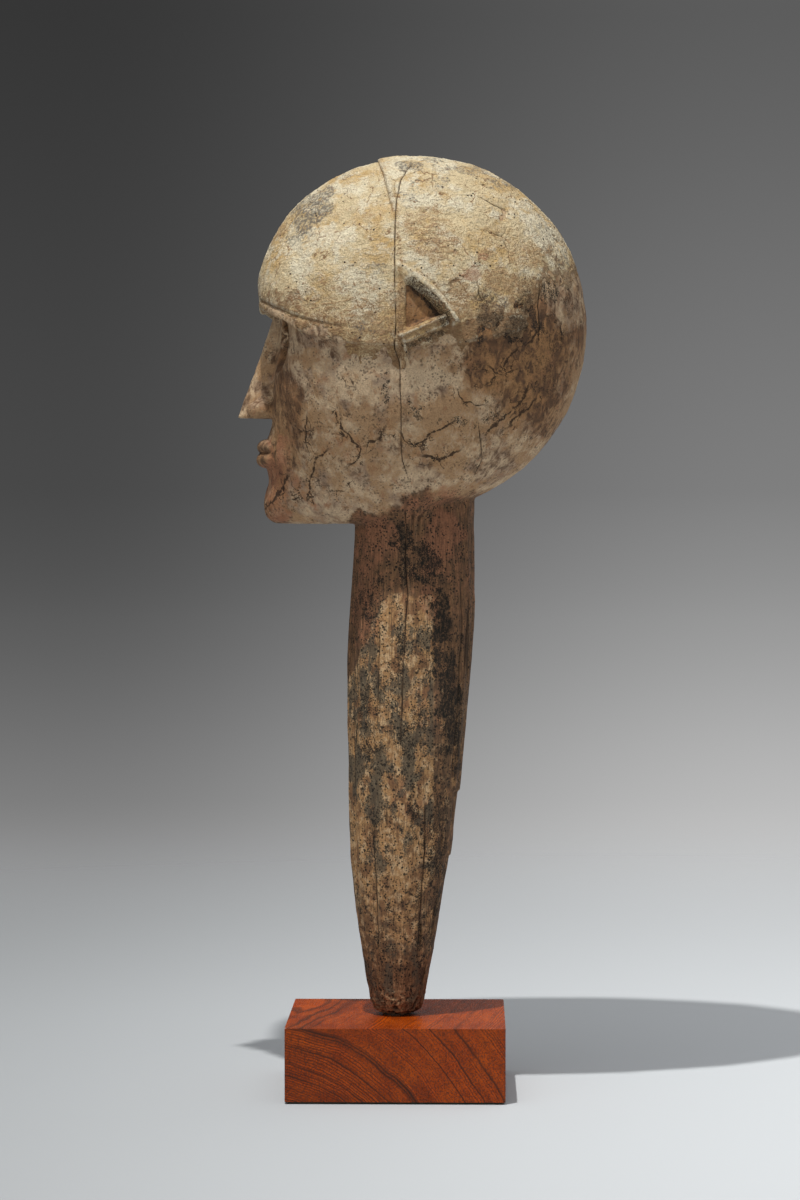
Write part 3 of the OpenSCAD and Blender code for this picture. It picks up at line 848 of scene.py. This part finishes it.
def kaolin_earth():
    """Dry pale earth: grainy, yellowed, smudged grey, worn through to brown near its edge, with painted
    highlights on its edges and painted shade in its grooves and under the ear.
    """
    f = Finish("kaolin_earth")
    clouds, mottle, fine = f.noise(40, 7, seed=2), f.noise(11, 7, seed=4), f.noise(0.9, 3, seed=6)
    drag, grit = f.noise(3.2, 7, (1, 2.2, 1), seed=9, bend=0.6), f.noise(1.7, 5, seed=13)
    warm, streaky = f.mask("warm"), f.mix(drag, fine, 0.4)
    f.colour = f.mix(CREAM, YELLOW_EARTH, f.cover(0.5, f.mix(clouds, mottle, 0.45), 0.22))
    light = f.mix(f.mix(f.noise(26, 7, seed=22), mottle, 0.4), drag, 0.2)
    f.paint(WHITE_EARTH, f.cover(0.47, light, 0.16), 0.85)
    f.paint(WARM_EARTH, f.cover(warm, streaky, 0.35), 0.85)
    worn = f.mix(f.mix(f.noise(6, 7, seed=27), drag, 0.4), grit, 0.3)
    f.paint(UNDER_BROWN, f.cover(f.times(f.mask("worn"), 0.9), worn, 0.25), 0.8)
    f.paint(RUST_RED, f.cover(f.mask("rust"), streaky, 0.4), 0.6)
    grains = f.mix(f.mix(grit, mottle, 0.4), fine, 0.3)
    f.paint(UNDER_BROWN, f.cover(f.level(0.05, 0.42, warm), grains, 0.16), 0.75)
    smudge = f.cover(f.mask("smudge"), f.mix(f.mix(clouds, drag, 0.6), grit, 0.4), 0.25)
    speckle = f.spread(f.mix(f.noise(2.2, 6, seed=43), grit, 0.3), 0.34, 0.62)
    f.paint(SMUDGE_GREY, smudge, f.level(0.25, 0.85, speckle))
    # Painted highlight: the crust's raised edges and welts are painted white.
    f.paint(WHITE_EARTH, f.mask("raised"), 0.7)
    # Painted shade: the crust's sunk corners and grooves are painted brown.
    f.paint(UNDER_BROWN, f.mask("sunk"), 0.85)
    soot_edge = f.mix(f.noise(3.4, 8, seed=16), f.noise(0.8, 2, seed=17), 0.5)
    flecks = f.spread(fine, 0.35, 0.65)
    # Soot, and painted shade on the ear's inner wall and under its fold.
    f.paint(NEAR_BLACK, f.cover(f.mask("soot_and_shade"), soot_edge, 0.32), f.level(0.4, 0.95, flecks))
    pits = f.times(f.spread(f.cells(4.2, seed=7), 0.2, 0.12), f.cover(0.3, f.noise(18, 2, seed=21), 0.1))
    f.paint(VEIN_BROWN, pits)
    hairlines = f.spread(f.cells(19, seed=18, feature="DISTANCE_TO_EDGE", bend=0.6), 0.02, 0.006)
    hairlines = f.times(hairlines, f.cover(0.42, f.noise(13, 3, seed=19), 0.15))
    f.paint(UNDER_BROWN, hairlines, 0.9)
    f.paint(UNDER_BROWN, f.cover(0.3, fine, 0.3), 0.4)
    crack = f.crack_line()
    f.paint(DEEP_BLACK, crack)
    sand = f.times(f.cells(1.4, seed=41), f.cover(0.5, f.noise(16, 3, seed=42), 0.2))
    reliefs = ((fine, 0.35), (grit, 0.4), (drag, 0.6), (sand, 0.5), (pits, -0.5), (crack, -0.5))
    return f.finish(f.level(0.86, 0.97, fine), reliefs, {"Specular IOR Level": 0.3})


# The tree's rings in the plinth: where their middle passes, in millimetres, how far they are turned
# about Z, and the radius and half width of the darkest ones.
PITH, RING_TURN = (PLINTH_HIGH[0], -93, -74), math.radians(9)
DARK_RINGS = ((129, 3.0), (170, 0.9), (182, 1.2), (116, 0.8), (104, 0.7), (96, 0.6), (159, 0.5))
PLINTH_BROWN, PLINTH_RED, PLINTH_ORANGE = (0.22, 0.031, 0.002), (0.40, 0.055, 0.002), (0.53, 0.092, 0.004)
PLINTH_BLACK = (0.04, 0.012, 0.005)


def plinth_hardwood():
    """Oiled red hardwood: arcs of rings on the two ends, straight lines along the sides."""
    f = Finish("plinth_hardwood")
    pith = [p * MM for p in PITH]
    turn = {"Vector": f.place, "Center": pith, "Angle": RING_TURN}
    turned = f.add("VectorRotate", turn, rotation_type="Z_AXIS")[0]
    offset = f.add("VectorMath", {0: turned, 1: pith}, operation="SUBTRACT")[0]
    x, y, z = (f.times(out, 1 / MM) for out in f.add("SeparateXYZ", {0: offset}))
    radius = f.math("SQRT", f.math("ADD", f.times(y, y), f.times(z, z)))
    radius = f.math("ADD", radius, f.level(-1.4, 1.4, f.noise(45, 3, (4, 1, 1))))
    around = f.times(f.math("ARCTAN2", z, y), 130)
    spot = f.add("CombineXYZ", {0: f.times(x, 0.03), 1: radius, 2: f.times(around, 0.035)})[0]
    bands = f.spread(f.add("TexNoise", {"Vector": spot, "Scale": 0.16, "Detail": 3})["Fac"], 0.35, 0.65)
    streaks = f.spread(f.add("TexNoise", {"Vector": spot, "Scale": 0.75, "Detail": 5})["Fac"], 0.4, 0.68)
    pores = f.cover(0.4, f.noise(1.0, 4, (12, 1, 1), seed=3), 0.12)
    clouds = f.noise(20, 3, (2, 1, 1), seed=5)
    f.colour = f.mix(PLINTH_BROWN, PLINTH_RED, bands)
    f.paint(PLINTH_ORANGE, clouds, 0.6)
    f.paint(PLINTH_BROWN, streaks, f.level(1.0, 0.45, f.spread(radius, 95, 150)))
    wave = f.spread(f.math("SINE", f.times(radius, 3.6)), 0.0, 1.0)
    growth = f.times(wave, f.cover(f.level(0.85, 0.2, f.spread(radius, 100, 160)), bands, 0.3))
    f.paint(PLINTH_BLACK, growth, 0.65)
    top = PLINTH_HIGH[2] - PITH[2]
    # The top face is painted lighter: its dark rings and pores are painted fainter there.
    fainter_on_top = f.level(1.0, 0.5, f.spread(z, top - 0.6, top - 0.2))
    for ring, half_width in DARK_RINGS:
        dark = f.spread(f.away(radius, ring), half_width, half_width * 0.4)
        dark = f.times(dark, f.level(0.65, 1.0, streaks))
        f.paint(PLINTH_BLACK, dark, f.times(fainter_on_top, f.level(0.75, 1.0, wave)))
    f.paint(PLINTH_BLACK, pores, f.times(fainter_on_top, 0.6))
    roughness = f.level(0.2, 0.34, f.mix(clouds, pores, 0.5))
    return f.finish(roughness, ((pores, -0.05), (streaks, -0.02)), {"Specular IOR Level": 0.22})


def metal(name, dark, light, along):
    """Brushed metal, its scratches stretched along one axis, slightly tarnished."""
    f = Finish(name)
    scratches, tarnish = f.noise(0.25, 3, along), f.noise(6, 4, seed=4)
    f.colour = f.mix(light, dark, f.mix(scratches, tarnish, 0.6))
    roughness = f.level(0.28, 0.5, f.mix(scratches, tarnish, 0.4))
    return f.finish(roughness, ((scratches, 0.01),), {"Metallic": 1.0})


def leather():
    f = Finish("washer_leather")
    pebbles, wear = f.cells(0.9), f.noise(4, 4)
    f.colour = f.mix((0.045, 0.026, 0.016), (0.11, 0.062, 0.036), f.mix(pebbles, wear, 0.6))
    return f.finish(f.level(0.5, 0.75, wear), ((pebbles, 0.08),), {"Specular IOR Level": 0.4})


def felt():
    f = Finish("green_felt")
    fibres, clumps = f.noise(0.5, 4, (3, 1, 1), bend=2), f.noise(7, 4)
    f.colour = f.mix((0.010, 0.026, 0.014), (0.030, 0.062, 0.036), f.mix(fibres, clumps, 0.4))
    sheen = {"Sheen Weight": 0.3, "Sheen Roughness": 0.6}
    return f.finish(f.level(0.9, 1.0, fibres), ((fibres, 0.25),), sheen)


def finish_hardware():
    """Gives the CAD pieces that show as they are their materials."""
    steel = metal("brushed_steel", (0.22, 0.22, 0.23), (0.5, 0.5, 0.51), (1, 1, 24))
    finishes = {
        "plinth_block": plinth_hardwood(), "mount_rod": steel, "plate_screws": steel,
        "mount_plate": metal("plate_steel", (0.18, 0.18, 0.19), (0.42, 0.42, 0.43), (24, 1, 1)),
        "rod_sleeve": metal("sleeve_brass", (0.38, 0.25, 0.09), (0.78, 0.57, 0.24), (1, 1, 12)),
        "foot_washer": leather(), "base_felt": felt(),
    }
    for node, finish in finishes.items():
        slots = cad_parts[node].data.materials
        slots.clear()
        slots.append(finish)


# --- meshes
def placed(name, data):
    """A new object in the scene, made of a mesh, a lamp or a camera."""
    made = bpy.data.objects.new(name, data)
    bpy.context.scene.collection.objects.link(made)
    return made


def mesh_object(name, points, quads, body, masks):
    """A smooth-shaded mesh from points in millimetres, riding on a body, with its masks stored."""
    mesh = bpy.data.meshes.new(name)
    mesh.vertices.add(len(points))
    mesh.vertices.foreach_set("co", (points * MM).astype(np.float32).ravel())
    mesh.loops.add(quads.size)
    mesh.loops.foreach_set("vertex_index", quads.astype(np.int32).ravel())
    mesh.polygons.add(len(quads))
    mesh.polygons.foreach_set("loop_start", np.arange(0, quads.size, 4, dtype=np.int32))
    mesh.update(calc_edges=True)
    mesh.shade_smooth()
    for mask, values in masks.items():
        stored = mesh.attributes.new(mask, "FLOAT", "POINT")
        stored.data.foreach_set("value", np.asarray(values, np.float32))
    made = placed(name, mesh)
    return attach(made, body)


def build_carving():
    """The wooden figure, and its plain surface and its weathered points, which the crust lies on."""
    low, high = np.array((-97.0, -124.0, FOOT_Z - 4)), np.array((97.0, 140.0, CROWN_Z + 6))
    points, quads = surface_of(figure, low, high, VOXEL)
    normals = normals_of(points, quads)
    crack_depth, crack, crack_off = cracks(points)
    moved, hollow = weather(points, normals, crack_depth)
    masks = stains(points, side_view(points))
    raised, sunk = raised_and_sunk(moved, quads, normals)
    masks.update(hollow=hollow, crack=crack, crack_off=crack_off, raised=raised, sunk=sunk)
    carving = mesh_object("weathered_carving", moved, quads, "figure", masks)
    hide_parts("carved_figure")
    carving.data.materials.append(weathered_wood())
    return points, quads, normals, moved, crack_depth, masks


def build_crust(points, quads, normals, moved, crack_depth, masks):
    """The earthen crust: a closed shell whose outside stands off the wood and whose inside is in it."""
    depth, worn = crust_depth(points, side_view(points))
    depth -= 0.8 * crack_depth
    kept = quads[(depth[quads] > RIM_DEPTH).any(1)]
    used = np.unique(kept)
    rim = depth[used] <= RIM_DEPTH
    outside = moved[used] + normals[used] * np.maximum(depth[used], -SHELL_IN)[:, None]
    inside = moved[used] - normals[used] * SHELL_IN
    outside[rim] = inside[rim]
    number = np.full(len(points), -1)
    number[used] = np.arange(len(used))
    outer = number[kept]
    inner_number = np.where(rim, np.arange(len(used)), len(used) + np.cumsum(~rim) - 1)
    shell_points = np.concatenate([outside, inside[~rim]])
    shell_quads = np.concatenate([outer, inner_number[outer][:, ::-1]])
    shell_masks = {"worn": worn[used]}
    for mask in ("soot_and_shade", "smudge", "warm", "rust", "crack", "crack_off", "raised", "sunk"):
        shell_masks[mask] = masks[mask][used]
    shell_masks = {mask: np.concatenate([values, values[~rim]]) for mask, values in shell_masks.items()}
    crust = mesh_object("kaolin_crust", shell_points, shell_quads, "figure", shell_masks)
    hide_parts("kaolin_coat")
    crust.data.materials.append(kaolin_earth())


# --- camera, lights and floor
def aim(made, direction, axis):
    """Turns an object so that one of its own axes points in a direction."""
    made.rotation_mode = "QUATERNION"
    made.rotation_quaternion = Vector(direction).to_track_quat(axis, "Y")


def add_sun(name, towards, strength, spread):
    """A lamp far away in the direction towards, spread being its width in degrees."""
    lamp = bpy.data.lights.new(name, "SUN")
    lamp.energy = strength
    lamp.angle = math.radians(spread)
    aim(placed(name, lamp), towards, "Z")


def add_key(place, strength, radius, colour):
    """A small lamp near the figure, which lights its foot as strongly as its head."""
    lamp = bpy.data.lights.new("key", "POINT")
    lamp.energy = strength * 4 * math.pi
    lamp.shadow_soft_size = radius
    lamp.color = colour
    lamp.use_nodes = True
    nodes = lamp.node_tree.nodes
    even = nodes.new("ShaderNodeLightFalloff")
    even.inputs["Strength"].default_value = 1
    lamp.node_tree.links.new(even.outputs["Constant"], nodes["Emission"].inputs["Strength"])
    placed("key", lamp).location = place


def add_camera(place, target, lens):
    camera = bpy.data.cameras.new("camera")
    camera.lens = lens
    camera.sensor_width = 36
    camera.clip_end = 100
    made = placed("camera", camera)
    made.location = place
    aim(made, Vector(target) - Vector(place), "-Z")
    bpy.context.scene.camera = made


def add_floor(radius):
    """A round pale table that fades into the backdrop, painted paler in the middle and on the right: a
    painted pool of light.
    """
    bpy.ops.mesh.primitive_circle_add(vertices=128, radius=radius, fill_type="NGON")
    floor = bpy.context.object
    floor.name = "floor"
    f = Finish("pale_floor")
    away = f.add("VectorMath", {0: f.place}, operation="LENGTH")["Value"]
    # Painted light: paler near the middle and, below, paler towards the right.
    nearness = f.spread(away, 1.2, 0.1)
    grey = f.mix((0.45, 0.47, 0.49), (0.485, 0.51, 0.535), nearness)
    sideways = f.add("SeparateXYZ", {0: f.place})["Y"]
    painted_side_light = f.level(0.62, 1.22, f.spread(sideways, -0.5, 0.5))
    f.colour = f.add("VectorMath", {0: grey, "Scale": painted_side_light}, operation="SCALE")[0]
    f.feed(f.nodes["Principled BSDF"].inputs["Alpha"], f.spread(away, radius, 0.8))
    roughness = f.level(0.8, 0.95, nearness)
    made = f.finish(roughness, ((f.noise(3, 2), 0.02),), {"Specular IOR Level": 0.3})
    floor.data.materials.append(made)


# The backdrop's greys on its left and its right, from below the horizon to high up: the upward part
# of the direction, then the two greys.
BACKDROP = (
    (-0.18, 0.45, 0.70), (-0.112, 0.34, 0.60), (-0.078, 0.205, 0.52), (-0.026, 0.088, 0.285),
    (0.01, 0.069, 0.228), (0.145, 0.031, 0.085),
)


def add_backdrop():
    """A plain grey that darkens from below the horizon up, and to the left."""
    f = Finish("backdrop", bpy.data.worlds)
    direction = f.add("SeparateXYZ", {0: f.coordinates["Generated"]})
    low, high = BACKDROP[0][0], BACKDROP[-1][0]
    upward = f.math("DIVIDE", f.math("SUBTRACT", direction["Z"], low), high - low)
    sides = []
    for side in (1, 2):
        greys = f.add("ValToRGB", {0: upward})[0]
        greys.node.color_ramp.interpolation = "B_SPLINE"
        stops = greys.node.color_ramp.elements
        for row in BACKDROP[1:-1]:
            stops.new((row[0] - low) / (high - low))
        for stop, row in zip(stops, BACKDROP):
            stop.color = (*[row[side]] * 3, 1)
        sides.append(greys)
    f.feed(f.nodes["Background"].inputs["Color"], f.mix(*sides, f.spread(direction["Y"], -0.12, 0.1)))
    bpy.context.scene.world = f.made


add_camera(place=(2.425, 0.0507, 0.391), target=(0, 0.0019, 0.3408), lens=104.3)
add_floor(radius=2.4)
add_key(place=(0.266, -0.092, 1.113), strength=2.7, radius=0.01, colour=(1, 0.98, 0.94))
add_sun("overhead", towards=(0, 0, 1), strength=1.3, spread=70)
add_sun("front_fill", towards=(1, -0.5, 0.4), strength=0.6, spread=60)
add_sun("back_fill", towards=(-1, 0.6, 0.6), strength=0.3, spread=60)
add_backdrop()
finish_hardware()
build_crust(*build_carving())
bpy.context.scene.view_settings.view_transform = "Standard"

bpy.context.view_layer.update()
